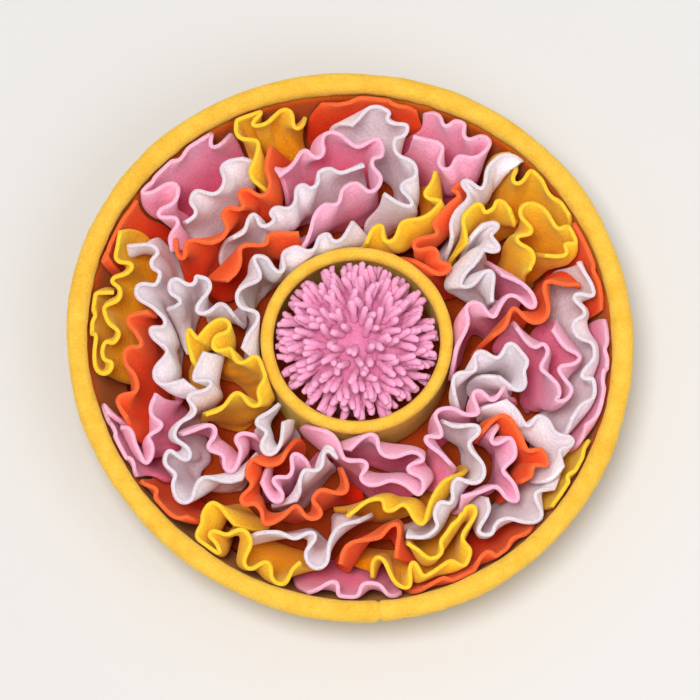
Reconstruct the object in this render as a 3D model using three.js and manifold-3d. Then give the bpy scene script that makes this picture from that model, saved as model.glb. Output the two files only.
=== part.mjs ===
// Snuffle bowl: a low padded fleece dish packed with ruffled fleece strips round a cup of chenille noodles.
// Millimetres, +Z up. The origin is the middle of the underside.
import * as THREE from "three";
import { mergeVertices } from "three/addons/utils/BufferGeometryUtils.js";
import Module from "manifold-3d";

// Driving dimensions
const BOWL_RADIUS = 175; // outside of the rolled rim
const BOWL_HEIGHT = 70; // top of the rolled rim
const BASE_RADIUS = 149;
const BASE_THICKNESS = 8;
const OUTLINE = { oval: 2.2, lobes: 1.4, lobeTurn: 2.15 }; // how far the hand-sewn outline is out of round
const RIM_WIDTH = 13;
const RIM_DEPTH = 14;
const WALL_THICKNESS = 7.5;
const WALL_INSET = 3; // foot of the wall, in from the edge of the base
const WALL_SWELL = 2;
const COLLAR_CENTRE = new THREE.Vector2(3.5, 2.4);
const COLLAR_RADIUS = 59.5; // outside of its rolled top
const COLLAR_ROLL = 8; // width of its rolled top
const COLLAR_HEIGHT = 66;
const FLEECE = 2.6; // thickness of a ruffle strip
const STRIP_HEIGHT = 60; // from the seam to the cut edge, along the cloth
const UPRIGHT_RADIUS = 80; // strips within it stand upright, and those outside lean out to the rim
const SEAM_INSET = 17; // outermost seam, in from the edge of the base
const SEW_GAP = 0.3; // between pieces that are sewn together
const POMPOM_RADIUS = 38; // padded heart of the noodle ball
const NOODLE_LENGTH = 17;
const NOODLE_RADIUS = 2.3;
const NOODLE_COUNT = 130;

// How the strips are gathered into folds
const STATION_STEP = 8; // cut edge between two stations
const EDGE_SPACING = 7; // between cut edges that lie side by side
const FOLD = { depth: 11, length: 23, lap: 0.3, trace: 0.5 }; // a usual fold, and the step it is traced with
const DRIFT = { swing: 0.9, length: 7.5, perStrip: 3.1 }; // how its phase wanders along a strip
const SWELL = { mean: 0.8, swing: 0.35, length: 5, perStrip: 2 }; // how its depth changes along a strip
const GROW_STEPS = 140; // while the folds deepen
const SETTLE_STEPS = 60; // once they are full
const STRETCH = 0.2; // shares of each fault that one settling step takes away
const BEND = 0.04;
const PUSH = 0.25;
const HOLD = 0.06;
const OWN_REACH = 1.7; // spacings along its own strip within which a station doesn't push
const COLLAR_CLEAR = 1; // from the cloth to the collar and to the rim
const RIM_CLEAR = 2;

const ROUND_STEPS = 56;
const TURN = 2 * Math.PI;
const SEAT = BASE_THICKNESS + SEW_GAP;

const CLOTHS = {
  yellow: { color: 0xf5c83c, roughness: 0.95, metalness: 0 },
  orange: { color: 0xf2602c, roughness: 0.95, metalness: 0 },
  pink: { color: 0xf0a3c4, roughness: 0.95, metalness: 0 },
  white: { color: 0xeae0ec, roughness: 0.95, metalness: 0 },
  chenille: { color: 0xd97fa6, roughness: 1, metalness: 0 },
};

// Each strip: its cloth, and the bends of the line that its cut edge follows before it is gathered
const RUFFLES = [
  { cloth: "yellow", line: [[-24, 142], [-48, 141], [-72, 146], [-64, 130], [-64, 101]] },
  { cloth: "orange", line: [[-48, 116], [-64, 94], [-80, 80], [-90, 68], [-114, 54]] },
  { cloth: "white", line: [[4, 114], [-12, 104], [-32, 101], [-48, 94], [-50, 80], [-70, 66]] },
  { cloth: "orange", line: [[-38, 65], [-58, 62], [-72, 48]] },
  { cloth: "white", line: [[0, 68], [-22, 73], [-40, 57], [-60, 40], [-66, 2]] },
  { cloth: "white", line: [[-74, 28], [-86, 22], [-95, 34], [-99, 44], [-107, 34], [-112, 18]] },
  { cloth: "pink", line: [[-78, 132], [-106, 127], [-126, 106], [-114, 100], [-116, 84], [-108, 68]] },
  { cloth: "white", line: [[-72, 114], [-86, 98], [-102, 82]] },
  { cloth: "orange", line: [[-138, 90], [-150, 70], [-155, 48]] },
  {
    cloth: "yellow",
    line: [[-140, 66], [-138, 46], [-147, 28], [-146, 2], [-151, -18], [-158, 0], [-156, 34]],
  },
  { cloth: "white", line: [[-124, 68], [-121, 46], [-126, 28], [-120, 10], [-122, -8], [-113, -26]] },
  { cloth: "orange", line: [[-136, 20], [-134, -10], [-133, -38]] },
  {
    cloth: "yellow",
    line: [[-108, 2], [-100, 12], [-80, 10], [-84, -6], [-68, -12], [-58, -30], [-68, -42], [-86, -42]],
  },
  { cloth: "pink", line: [[-148, -36], [-146, -60], [-132, -82]] },
  { cloth: "pink", line: [[-136, -50], [-126, -66], [-115, -62], [-113, -38]] },
  {
    cloth: "white",
    line: [[-98, -6], [-94, -24], [-102, -44], [-101, -70], [-114, -84], [-100, -95], [-78, -91]],
  },
  { cloth: "pink", line: [[-94, -52], [-87, -66], [-86, -80], [-74, -78], [-70, -58]] },
  { cloth: "white", line: [[-60, -42], [-57, -62], [-44, -64], [-38, -56]] },
  { cloth: "orange", line: [[-128, -92], [-118, -104], [-108, -112]] },
  { cloth: "yellow", line: [[-84, -106], [-98, -112], [-92, -128], [-74, -118], [-62, -134], [-32, -146]] },
  {
    cloth: "orange",
    line: [[-44, -76], [-60, -82], [-70, -98], [-56, -112], [-28, -107], [-8, -92], [4, -89]],
  },
  { cloth: "pink", line: [[-60, -99], [-46, -97], [-34, -80], [-26, -66]] },
  { cloth: "white", line: [[-30, -97], [-22, -82], [-12, -68]] },
  { cloth: "white", line: [[-42, -126], [-28, -121], [-16, -134], [-12, -112]] },
  { cloth: "pink", line: [[-20, -152], [4, -154], [30, -154]] },
  { cloth: "orange", line: [[30, -126], [8, -124], [-2, -138]] },
  {
    cloth: "yellow",
    line: [[8, -139], [34, -144], [60, -138], [74, -122], [66, -104], [60, -122], [44, -133]],
  },
  { cloth: "white", line: [[38, -124], [52, -112], [61, -96], [72, -84], [75, -66], [68, -52]] },
  { cloth: "yellow", line: [[-2, -106], [22, -112], [40, -106], [51, -88]] },
  { cloth: "pink", line: [[-8, -66], [4, -78], [22, -96], [38, -92], [38, -74], [20, -66], [6, -62]] },
  { cloth: "pink", line: [[50, -75], [48, -58], [62, -47], [78, -41], [94, -34]] },
  { cloth: "pink", line: [[90, -54], [103, -74], [96, -96], [76, -94]] },
  { cloth: "orange", line: [[94, -46], [112, -64], [117, -78], [110, -90]] },
  { cloth: "white", line: [[100, -40], [116, -52], [134, -54], [134, -72]] },
  { cloth: "white", line: [[148, 50], [141, 34], [140, 14], [145, -4], [145, -20], [141, -40]] },
  { cloth: "pink", line: [[156, 8], [158, -20], [154, -50]] },
  { cloth: "yellow", line: [[146, -66], [140, -84], [128, -100]] },
  { cloth: "white", line: [[82, -106], [86, -118], [102, -113], [118, -99]] },
  { cloth: "orange", line: [[50, -150], [80, -138], [107, -121]] },
  { cloth: "orange", line: [[-12, 154], [10, 156], [34, 152]] },
  { cloth: "white", line: [[4, 141], [22, 145], [32, 136], [32, 118], [37, 104], [24, 88]] },
  { cloth: "pink", line: [[46, 148], [72, 141], [80, 126], [66, 118], [52, 125], [44, 136]] },
  { cloth: "pink", line: [[-40, 119], [-18, 122], [6, 128], [17, 118], [15, 102], [-4, 93], [-26, 87]] },
  { cloth: "yellow", line: [[50, 108], [46, 88], [34, 77], [8, 75]] },
  { cloth: "orange", line: [[58, 104], [58, 86], [44, 70], [48, 58], [62, 60], [67, 46], [56, 42]] },
  { cloth: "white", line: [[96, 122], [86, 110], [70, 103], [68, 86], [58, 74]] },
  { cloth: "yellow", line: [[68, 68], [78, 84], [98, 90]] },
  { cloth: "white", line: [[84, 74], [95, 66], [88, 50], [76, 54], [78, 38], [94, 33]] },
  { cloth: "yellow", line: [[106, 50], [105, 70], [116, 82], [132, 76], [137, 62], [122, 58]] },
  { cloth: "yellow", line: [[102, 118], [106, 104], [122, 100], [136, 88]] },
  { cloth: "orange", line: [[146, 76], [152, 60], [150, 34]] },
  { cloth: "orange", line: [[124, 42], [116, 22], [92, 8]] },
  { cloth: "pink", line: [[104, 40], [108, 26], [90, 18], [74, 23], [68, 4]] },
  { cloth: "white", line: [[70, -26], [74, -10], [88, -5], [104, -10], [112, -20], [100, -27]] },
  { cloth: "pink", line: [[106, 2], [120, -8], [124, -28], [129, -36], [130, -16], [125, 0]] },
];

const wasm = await Module();
wasm.setup();

// Distance by which the hand-sewn outline leaves a true circle at an angle
function outOfRound(angle) {
  const oval = OUTLINE.oval * Math.cos(2 * angle + Math.PI / 2);
  const lobes = OUTLINE.lobes * Math.cos(3 * angle - OUTLINE.lobeTurn);
  return oval + lobes;
}

// Where a point of the plan at cut-edge height is sewn to the base: the wall slopes in towards it
function sewnPoint(point) {
  const rimReach = BOWL_RADIUS - RIM_WIDTH - UPRIGHT_RADIUS;
  const baseReach = BASE_RADIUS - SEAM_INSET - UPRIGHT_RADIUS;
  const radius = point.length();
  if (radius <= UPRIGHT_RADIUS) return point.clone();
  return point.clone().setLength(UPRIGHT_RADIUS + ((radius - UPRIGHT_RADIUS) * baseReach) / rimReach);
}

// One strip: stations on its plain line, on its folded cut edge, and on the base where it is sewn
function foldStrip(row, index) {
  const bends = row.line.map(([x, y]) => new THREE.Vector3(x, y, 0));
  const curve = new THREE.CatmullRomCurve3(bends, false, "centripetal");
  const length = curve.getLength();
  const folds = [];
  for (let s = 0; s <= length; s += FOLD.trace) {
    const point = curve.getPointAt(s / length);
    const along = curve.getTangentAt(s / length);
    const drift = DRIFT.swing * Math.sin(s / DRIFT.length + index) + DRIFT.perStrip * index;
    const phase = (TURN * s) / FOLD.length + drift;
    const swell = SWELL.mean + SWELL.swing * Math.sin(s / SWELL.length + SWELL.perStrip * index);
    const depth = FOLD.depth * swell;
    const side = depth * Math.sin(phase);
    const lap = -FOLD.lap * depth * Math.sin(2 * phase);
    point.x += along.x * lap - along.y * side;
    point.y += along.y * lap + along.x * side;
    point.z = s;
    folds.push(point);
  }
  const cutEdge = new THREE.CatmullRomCurve3(folds);
  cutEdge.arcLengthDivisions = 4 * folds.length;
  const stations = cutEdge.getSpacedPoints(Math.round(cutEdge.getLength() / STATION_STEP));
  const folded = stations.map((p) => new THREE.Vector2(p.x, p.y));
  const flat = stations.map((p) => {
    const onLine = curve.getPointAt(THREE.MathUtils.clamp(p.z / length, 0, 1));
    return new THREE.Vector2(onLine.x, onLine.y);
  });
  return { cloth: row.cloth, flat, folded, edge: flat.map((p) => p.clone()), seam: flat.map(sewnPoint) };
}

// Keeps a station between the collar and the rim
function holdInside(point) {
  const fromCollar = point.clone().sub(COLLAR_CENTRE);
  const inner = COLLAR_RADIUS + FLEECE / 2 + COLLAR_CLEAR;
  if (fromCollar.length() < inner) point.copy(COLLAR_CENTRE).add(fromCollar.setLength(inner));
  const round = BOWL_RADIUS - RIM_WIDTH - FLEECE / 2 - RIM_CLEAR;
  const outer = round + outOfRound(Math.atan2(point.y, point.x));
  if (point.length() > outer) point.setLength(outer);
}

// Deepens the folds while the cut edges push each other apart, so that no two lie too close for the cloth
function settleStrips(strips) {
  const stations = [];
  strips.forEach(({ edge, flat, folded }, s) => {
    edge.forEach((point, i) => {
      stations.push({ point, flat: flat[i], folded: folded[i], strip: s, i, home: new THREE.Vector2() });
    });
  });
  const moves = stations.map(() => new THREE.Vector2());
  const gap = new THREE.Vector2();
  for (let step = 1; step <= GROW_STEPS + SETTLE_STEPS; step++) {
    const grown = Math.min(1, step / GROW_STEPS);
    stations.forEach(({ point, flat, folded, home }, a) => {
      home.lerpVectors(flat, folded, grown);
      moves[a].subVectors(home, point).multiplyScalar(HOLD);
    });
    for (let a = 0; a < stations.length; a++) {
      const one = stations[a];
      const next = stations[a + 1];
      if (next && next.strip === one.strip) {
        const rest = one.home.distanceTo(next.home);
        gap.subVectors(next.point, one.point);
        gap.multiplyScalar((STRETCH * (gap.length() - rest)) / gap.length());
        moves[a].add(gap);
        moves[a + 1].sub(gap);
        if (one.i > 0) {
          gap.addVectors(stations[a - 1].point, next.point).multiplyScalar(0.5).sub(one.point);
          moves[a].addScaledVector(gap, BEND);
        }
      }
      for (let b = a + 2; b < stations.length; b++) {
        const other = stations[b];
        const dx = other.point.x - one.point.x;
        if (Math.abs(dx) > EDGE_SPACING) continue;
        const distance = Math.hypot(dx, other.point.y - one.point.y);
        if (distance > EDGE_SPACING) continue;
        const alongCloth = one.home.distanceTo(stations[a + 1].home) * (b - a);
        if (other.strip === one.strip && alongCloth < OWN_REACH * EDGE_SPACING) continue;
        gap.subVectors(other.point, one.point);
        gap.multiplyScalar((PUSH * (EDGE_SPACING - distance)) / distance);
        moves[a].sub(gap);
        moves[b].add(gap);
      }
    }
    stations.forEach(({ point }, a) => {
      point.add(moves[a]);
      holdInside(point);
    });
  }
}

// The two sides of a strip along a line of stations, half the cloth's thickness to the left and right
function bothSides(line) {
  return line.map((point, i) => {
    const before = line[Math.max(i - 1, 0)];
    const after = line[Math.min(i + 1, line.length - 1)];
    const into = point.clone().sub(before).normalize();
    const out = after.clone().sub(point).normalize();
    const along = into.clone().add(out).normalize();
    const ends = i === 0 || i === line.length - 1;
    const widen = 1 / Math.max(0.75, Math.sqrt((1 + into.dot(out)) / 2));
    const side = new THREE.Vector2(-along.y, along.x).multiplyScalar((FLEECE / 2) * (ends ? 1 : widen));
    return { left: point.clone().add(side), right: point.clone().sub(side) };
  });
}

// A closed skin over rings of equal length, with a flat end on the first and the last ring
function loft(rings) {
  const size = rings[0].length;
  const positions = rings.flat().flatMap((p) => [p.x, p.y, p.z]);
  const faces = [];
  for (let r = 0; r + 1 < rings.length; r++) {
    for (let k = 0; k < size; k++) {
      const a = r * size + k;
      const b = r * size + ((k + 1) % size);
      faces.push(a, b, b + size, a, b + size, a + size);
    }
  }
  const last = (rings.length - 1) * size;
  for (let k = 1; k + 1 < size; k++) {
    faces.push(0, k + 1, k, last, last + k, last + k + 1);
  }
  const geometry = new THREE.BufferGeometry();
  geometry.setAttribute("position", new THREE.Float32BufferAttribute(positions, 3));
  geometry.setIndex(faces);
  return geometry;
}

// One gathered strip: upright cloth between its seam on the base and its folded cut edge
function ruffleGeometry({ seam, edge }) {
  const footSides = bothSides(seam);
  const edgeSides = bothSides(edge);
  const rings = seam.map((foot, i) => {
    const lean = edge[i].distanceTo(foot);
    const top = SEAT + Math.sqrt(STRIP_HEIGHT ** 2 - lean ** 2);
    const at = (point, z) => new THREE.Vector3(point.x, point.y, z);
    return [
      at(footSides[i].left, SEAT),
      at(edgeSides[i].left, top),
      at(edgeSides[i].right, top),
      at(footSides[i].right, SEAT),
    ];
  });
  return loft(rings);
}

// A ring or disc turned about +Z from its section, given as [radius, height] corners
function turned(section, steps = ROUND_STEPS) {
  const corners = section.map(([radius, height]) => new THREE.Vector2(radius, height));
  const geometry = new THREE.LatheGeometry(corners, steps);
  geometry.deleteAttribute("normal");
  geometry.deleteAttribute("uv");
  geometry.rotateX(Math.PI / 2);
  return mergeVertices(geometry, 1e-3);
}

// Moves each corner of a turned piece out or in with the hand-sewn outline, fully at rim height
function handSewn(geometry) {
  const place = geometry.getAttribute("position");
  for (let i = 0; i < place.count; i++) {
    const x = place.getX(i);
    const y = place.getY(i);
    const share = Math.min(1, place.getZ(i) / (BOWL_HEIGHT - RIM_DEPTH));
    const radius = Math.hypot(x, y);
    const scale = (radius + share * outOfRound(Math.atan2(y, x))) / radius;
    place.setXY(i, x * scale, y * scale);
  }
  return geometry;
}

function basePanel() {
  const edge = 2.5;
  return turned([
    [0, 0],
    [BASE_RADIUS - edge, 0],
    [BASE_RADIUS, edge],
    [BASE_RADIUS, BASE_THICKNESS - edge],
    [BASE_RADIUS - edge, BASE_THICKNESS],
    [0, BASE_THICKNESS],
  ]);
}

function sideWall() {
  const top = BOWL_HEIGHT - RIM_DEPTH - SEW_GAP;
  const footOut = BASE_RADIUS - WALL_INSET;
  const topOut = BOWL_RADIUS - RIM_WIDTH / 2;
  const middle = [(footOut + topOut) / 2 + WALL_SWELL, (SEAT + top) / 2];
  const section = [
    [footOut - WALL_THICKNESS, SEAT],
    [footOut, SEAT],
    middle,
    [topOut, top],
    [topOut - WALL_THICKNESS, top],
    [footOut - WALL_THICKNESS, SEAT],
  ];
  return handSewn(turned(section));
}

// A rolled edge's section: an oval with a flat underside
function rollSection(middle, under, width, depth, corners) {
  const section = [];
  for (let k = 0; k <= corners; k++) {
    const angle = TURN * (k / corners - 0.25) + Math.PI / corners;
    section.push([
      middle + ((width / 2) * Math.cos(angle)) / Math.cos(Math.PI / corners),
      under + (depth / 2) * (1 + Math.sin(angle) / Math.cos(Math.PI / corners)),
    ]);
  }
  return section;
}

function rimBinding() {
  const middle = BOWL_RADIUS - RIM_WIDTH / 2;
  return handSewn(turned(rollSection(middle, BOWL_HEIGHT - RIM_DEPTH, RIM_WIDTH, RIM_DEPTH, 8)));
}

function collar() {
  const rollDepth = 10;
  const tuck = 1.5; // the wall of the cup is slimmer than its roll on each side
  const middle = COLLAR_RADIUS - COLLAR_ROLL / 2;
  const roll = rollSection(middle, COLLAR_HEIGHT - rollDepth, COLLAR_ROLL, rollDepth, 8);
  roll.pop();
  const section = [
    ...roll,
    [COLLAR_RADIUS - COLLAR_ROLL + tuck, SEAT],
    [COLLAR_RADIUS - tuck, SEAT],
    roll[0],
  ];
  return turned(section, 40);
}

function asSolid(geometry) {
  const bare = geometry.clone();
  bare.deleteAttribute("normal");
  bare.deleteAttribute("uv");
  const merged = mergeVertices(bare, 1e-4);
  const vertProperties = merged.getAttribute("position").array;
  const triVerts = new Uint32Array(merged.index.array);
  return new wasm.Manifold(new wasm.Mesh({ numProp: 3, vertProperties, triVerts }));
}

function asGeometry(solid) {
  const mesh = solid.getMesh();
  const geometry = new THREE.BufferGeometry();
  geometry.setAttribute("position", new THREE.Float32BufferAttribute(mesh.vertProperties, 3));
  geometry.setIndex([...mesh.triVerts]);
  return geometry;
}

// Padded bun that fills the cup, with noodles rooted in its dome and lying out from the middle
function pompom() {
  const flatness = 0.62;
  const middle = 41; // height of the dome's widest ring over the foot
  const rows = 4;
  const section = [
    [0, 0],
    [POMPOM_RADIUS - 4, 0],
    [POMPOM_RADIUS, 8],
  ];
  for (let k = 0; k <= rows; k++) {
    const angle = (Math.PI / 2) * (k / rows);
    section.push([POMPOM_RADIUS * Math.cos(angle), middle + flatness * POMPOM_RADIUS * Math.sin(angle)]);
  }
  section[section.length - 1][0] = 0;
  let ball = asSolid(turned(section, 20));
  const golden = Math.PI * (3 - Math.sqrt(5));
  const rooted = 3; // depth of each noodle in the dome
  const spread = 0.55; // how far the noodles lie down from standing straight out
  const taper = 0.86;
  const inside = COLLAR_RADIUS - COLLAR_ROLL - 1.5 * NOODLE_RADIUS;
  const up = new THREE.Vector3(0, 1, 0);
  for (let n = 0; n < NOODLE_COUNT; n++) {
    const height = THREE.MathUtils.lerp(0.99, 0.05, n / (NOODLE_COUNT - 1));
    const ring = Math.sqrt(1 - height * height);
    const angle = n * golden;
    const out = new THREE.Vector3(ring * Math.cos(angle), ring * Math.sin(angle), height);
    const root = new THREE.Vector3(out.x, out.y, out.z * flatness).multiplyScalar(POMPOM_RADIUS - rooted);
    const heading = out.clone().add(new THREE.Vector3(out.x, out.y, 0).multiplyScalar(spread)).normalize();
    const uneven = 0.9 + 0.14 * Math.cos(5 * n);
    const room = (inside - (POMPOM_RADIUS - rooted) * ring) / Math.hypot(heading.x, heading.y);
    const reach = Math.min(NOODLE_LENGTH * uneven + rooted, room);
    const noodle = new THREE.CylinderGeometry(NOODLE_RADIUS * taper, NOODLE_RADIUS, reach, 3);
    noodle.translate(0, reach / 2, 0);
    noodle.applyQuaternion(new THREE.Quaternion().setFromUnitVectors(up, heading));
    noodle.translate(root.x, root.y, root.z + middle);
    ball = ball.add(asSolid(noodle));
  }
  return asGeometry(ball);
}

function piece(name, geometry, cloth) {
  const mesh = new THREE.Mesh(geometry, new THREE.MeshStandardMaterial(CLOTHS[cloth]));
  mesh.name = name;
  return mesh;
}

const bowl = new THREE.Group();
bowl.add(piece("base_panel", basePanel(), "yellow"));
bowl.add(piece("side_wall", sideWall(), "yellow"));
bowl.add(piece("rim_binding", rimBinding(), "yellow"));

const cup = new THREE.Group();
cup.position.set(COLLAR_CENTRE.x, COLLAR_CENTRE.y, 0);
cup.add(piece("collar", collar(), "yellow"));
const ball = piece("noodle_ball", pompom(), "chenille");
ball.position.z = SEAT;
cup.add(ball);
bowl.add(cup);

const strips = RUFFLES.map(foldStrip);
settleStrips(strips);
strips.forEach((strip, s) => {
  const name = `ruffle_${String(s + 1).padStart(2, "0")}_${strip.cloth}`;
  bowl.add(piece(name, ruffleGeometry(strip), strip.cloth));
});

export default bowl;
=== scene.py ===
"""Snuffle bowl: fleece ruffles, padded rim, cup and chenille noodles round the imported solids."""

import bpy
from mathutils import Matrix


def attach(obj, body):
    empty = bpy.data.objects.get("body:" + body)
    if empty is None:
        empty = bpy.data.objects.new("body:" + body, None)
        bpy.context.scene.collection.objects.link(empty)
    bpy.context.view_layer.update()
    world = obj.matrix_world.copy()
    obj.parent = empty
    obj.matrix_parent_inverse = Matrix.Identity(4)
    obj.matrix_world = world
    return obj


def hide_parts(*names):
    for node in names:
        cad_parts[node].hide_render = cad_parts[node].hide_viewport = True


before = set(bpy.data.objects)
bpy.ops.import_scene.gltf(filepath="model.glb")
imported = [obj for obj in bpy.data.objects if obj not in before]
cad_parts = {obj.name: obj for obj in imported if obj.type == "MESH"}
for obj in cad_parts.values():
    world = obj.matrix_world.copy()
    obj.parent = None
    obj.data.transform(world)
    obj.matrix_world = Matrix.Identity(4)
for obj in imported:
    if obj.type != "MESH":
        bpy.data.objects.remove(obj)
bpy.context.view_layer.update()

import math

import bpy
import numpy as np
from mathutils import Vector

MM = 0.001
TURN = 2 * math.pi

# Sizes of the bowl in millimetres
BOWL_RADIUS = 175
BOWL_HEIGHT = 70
BASE_RADIUS = 149
BASE_THICKNESS = 8
RIM_WIDTH = 13
RIM_DEPTH = 14
WALL_THICKNESS = 7.5
WALL_INSET = 3
WALL_SWELL = 2.5
COLLAR_CENTRE = 3.5 + 2.4j
COLLAR_RADIUS = 59.5
COLLAR_ROLL = 8
COLLAR_HEIGHT = 66
CUP_ROLL_DEPTH = 10
CUP_TUCK = 0.5
CUP_WAIST = 1.5
FLEECE = 2.6
STRIP_HEIGHT = 60
SEW_GAP = 0.3
SEAT = BASE_THICKNESS + SEW_GAP
HEIGHT_ON_BASE = 1.5

# The pompom in the cup: its dome and its noodles, more of them than in the solid
POMPOM_RADIUS = 38
DOME_FLATNESS = 0.62
DOME_MIDDLE = 41
NOODLE_LENGTH = 13
NOODLE_RADIUS = 2.45
NOODLE_COUNT = 240
NOODLE_SIDES = 7
NOODLE_RINGS = 6
NOODLE_ROOT = 3
NOODLE_SPREAD = 0.55
NOODLE_BEND = 0.35
CROWN_TOP = 0.99
CROWN_RANGE = 0.94
DOME_SIDES = 40
GOLDEN_ANGLE = math.pi * (3 - math.sqrt(5))

# How the hand-sewn outline leaves a true circle: swing and start of its oval and of its three lobes
OVAL_SWING = 2.2
OVAL_START = math.pi / 2
LOBE_SWING = 1.4
LOBE_START = -2.15

# How the strips are gathered into folds, as in the solids
STATION_STEP = 8
EDGE_SPACING = 7
FOLD_DEPTH = 11
FOLD_LENGTH = 23
FOLD_LAP = 0.3
FOLD_TRACE = 0.5
GROW_STEPS = 140
SETTLE_STEPS = 60
STRETCH = 0.2
BEND = 0.04
PUSH = 0.25
HOLD = 0.06
OWN_REACH = 1.7
COLLAR_CLEAR = 1
RIM_CLEAR = 2
UPRIGHT_RADIUS = 80
SEAM_INSET = 17
DRIFT_SWING = 0.9
DRIFT_LENGTH = 7.5
DRIFT_PER_STRIP = 3.1
SWELL_MEAN = 0.8
SWELL_SWING = 0.35
SWELL_LENGTH = 5
SWELL_PER_STRIP = 2

# Each strip: its cloth, and the bends of the line that its cut edge follows before it is gathered
RUFFLES = [
    ("yellow", [(-24, 142), (-48, 141), (-72, 146), (-64, 130), (-64, 101)]),
    ("orange", [(-48, 116), (-64, 94), (-80, 80), (-90, 68), (-114, 54)]),
    ("white", [(4, 114), (-12, 104), (-32, 101), (-48, 94), (-50, 80), (-70, 66)]),
    ("orange", [(-38, 65), (-58, 62), (-72, 48)]),
    ("white", [(0, 68), (-22, 73), (-40, 57), (-60, 40), (-66, 2)]),
    ("white", [(-74, 28), (-86, 22), (-95, 34), (-99, 44), (-107, 34), (-112, 18)]),
    ("pink", [(-78, 132), (-106, 127), (-126, 106), (-114, 100), (-116, 84), (-108, 68)]),
    ("white", [(-72, 114), (-86, 98), (-102, 82)]),
    ("orange", [(-138, 90), (-150, 70), (-155, 48)]),
    ("yellow", [(-140, 66), (-138, 46), (-147, 28), (-146, 2), (-151, -18), (-158, 0), (-156, 34)]),
    ("white", [(-124, 68), (-121, 46), (-126, 28), (-120, 10), (-122, -8), (-113, -26)]),
    ("orange", [(-136, 20), (-134, -10), (-133, -38)]),
    (
        "yellow",
        [(-108, 2), (-100, 12), (-80, 10), (-84, -6), (-68, -12),
         (-58, -30), (-68, -42), (-86, -42)],
    ),
    ("pink", [(-148, -36), (-146, -60), (-132, -82)]),
    ("pink", [(-136, -50), (-126, -66), (-115, -62), (-113, -38)]),
    ("white", [(-98, -6), (-94, -24), (-102, -44), (-101, -70), (-114, -84), (-100, -95), (-78, -91)]),
    ("pink", [(-94, -52), (-87, -66), (-86, -80), (-74, -78), (-70, -58)]),
    ("white", [(-60, -42), (-57, -62), (-44, -64), (-38, -56)]),
    ("orange", [(-128, -92), (-118, -104), (-108, -112)]),
    ("yellow", [(-84, -106), (-98, -112), (-92, -128), (-74, -118), (-62, -134), (-32, -146)]),
    ("orange", [(-44, -76), (-60, -82), (-70, -98), (-56, -112), (-28, -107), (-8, -92), (4, -89)]),
    ("pink", [(-60, -99), (-46, -97), (-34, -80), (-26, -66)]),
    ("white", [(-30, -97), (-22, -82), (-12, -68)]),
    ("white", [(-42, -126), (-28, -121), (-16, -134), (-12, -112)]),
    ("pink", [(-20, -152), (4, -154), (30, -154)]),
    ("orange", [(30, -126), (8, -124), (-2, -138)]),
    ("yellow", [(8, -139), (34, -144), (60, -138), (74, -122), (66, -104), (60, -122), (44, -133)]),
    ("white", [(38, -124), (52, -112), (61, -96), (72, -84), (75, -66), (68, -52)]),
    ("yellow", [(-2, -106), (22, -112), (40, -106), (51, -88)]),
    ("pink", [(-8, -66), (4, -78), (22, -96), (38, -92), (38, -74), (20, -66), (6, -62)]),
    ("pink", [(50, -75), (48, -58), (62, -47), (78, -41), (94, -34)]),
    ("pink", [(90, -54), (103, -74), (96, -96), (76, -94)]),
    ("orange", [(94, -46), (112, -64), (117, -78), (110, -90)]),
    ("white", [(100, -40), (116, -52), (134, -54), (134, -72)]),
    ("white", [(148, 50), (141, 34), (140, 14), (145, -4), (145, -20), (141, -40)]),
    ("pink", [(156, 8), (158, -20), (154, -50)]),
    ("yellow", [(146, -66), (140, -84), (128, -100)]),
    ("white", [(82, -106), (86, -118), (102, -113), (118, -99)]),
    ("orange", [(50, -150), (80, -138), (107, -121)]),
    ("orange", [(-12, 154), (10, 156), (34, 152)]),
    ("white", [(4, 141), (22, 145), (32, 136), (32, 118), (37, 104), (24, 88)]),
    ("pink", [(46, 148), (72, 141), (80, 126), (66, 118), (52, 125), (44, 136)]),
    ("pink", [(-40, 119), (-18, 122), (6, 128), (17, 118), (15, 102), (-4, 93), (-26, 87)]),
    ("yellow", [(50, 108), (46, 88), (34, 77), (8, 75)]),
    ("orange", [(58, 104), (58, 86), (44, 70), (48, 58), (62, 60), (67, 46), (56, 42)]),
    ("white", [(96, 122), (86, 110), (70, 103), (68, 86), (58, 74)]),
    ("yellow", [(68, 68), (78, 84), (98, 90)]),
    ("white", [(84, 74), (95, 66), (88, 50), (76, 54), (78, 38), (94, 33)]),
    ("yellow", [(106, 50), (105, 70), (116, 82), (132, 76), (137, 62), (122, 58)]),
    ("yellow", [(102, 118), (106, 104), (122, 100), (136, 88)]),
    ("orange", [(146, 76), (152, 60), (150, 34)]),
    ("orange", [(124, 42), (116, 22), (92, 8)]),
    ("pink", [(104, 40), (108, 26), (90, 18), (74, 23), (68, 4)]),
    ("white", [(70, -26), (74, -10), (88, -5), (104, -10), (112, -20), (100, -27)]),
    ("pink", [(106, 2), (120, -8), (124, -28), (129, -36), (130, -16), (125, 0)]),
]


def out_of_round(angle):
    """How far the hand-sewn outline leaves a true circle at an angle."""
    oval = OVAL_SWING * np.cos(2 * angle + OVAL_START)
    return oval + LOBE_SWING * np.cos(3 * angle + LOBE_START)


def sewn_point(point):
    """Where a point of the plan at cut-edge height is sewn to the base."""
    rim_reach = BOWL_RADIUS - RIM_WIDTH - UPRIGHT_RADIUS
    base_reach = BASE_RADIUS - SEAM_INSET - UPRIGHT_RADIUS
    radius = np.abs(point)
    pulled = UPRIGHT_RADIUS + (radius - UPRIGHT_RADIUS) * base_reach / rim_reach
    return np.where(radius <= UPRIGHT_RADIUS, point, point / radius * pulled)


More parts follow.
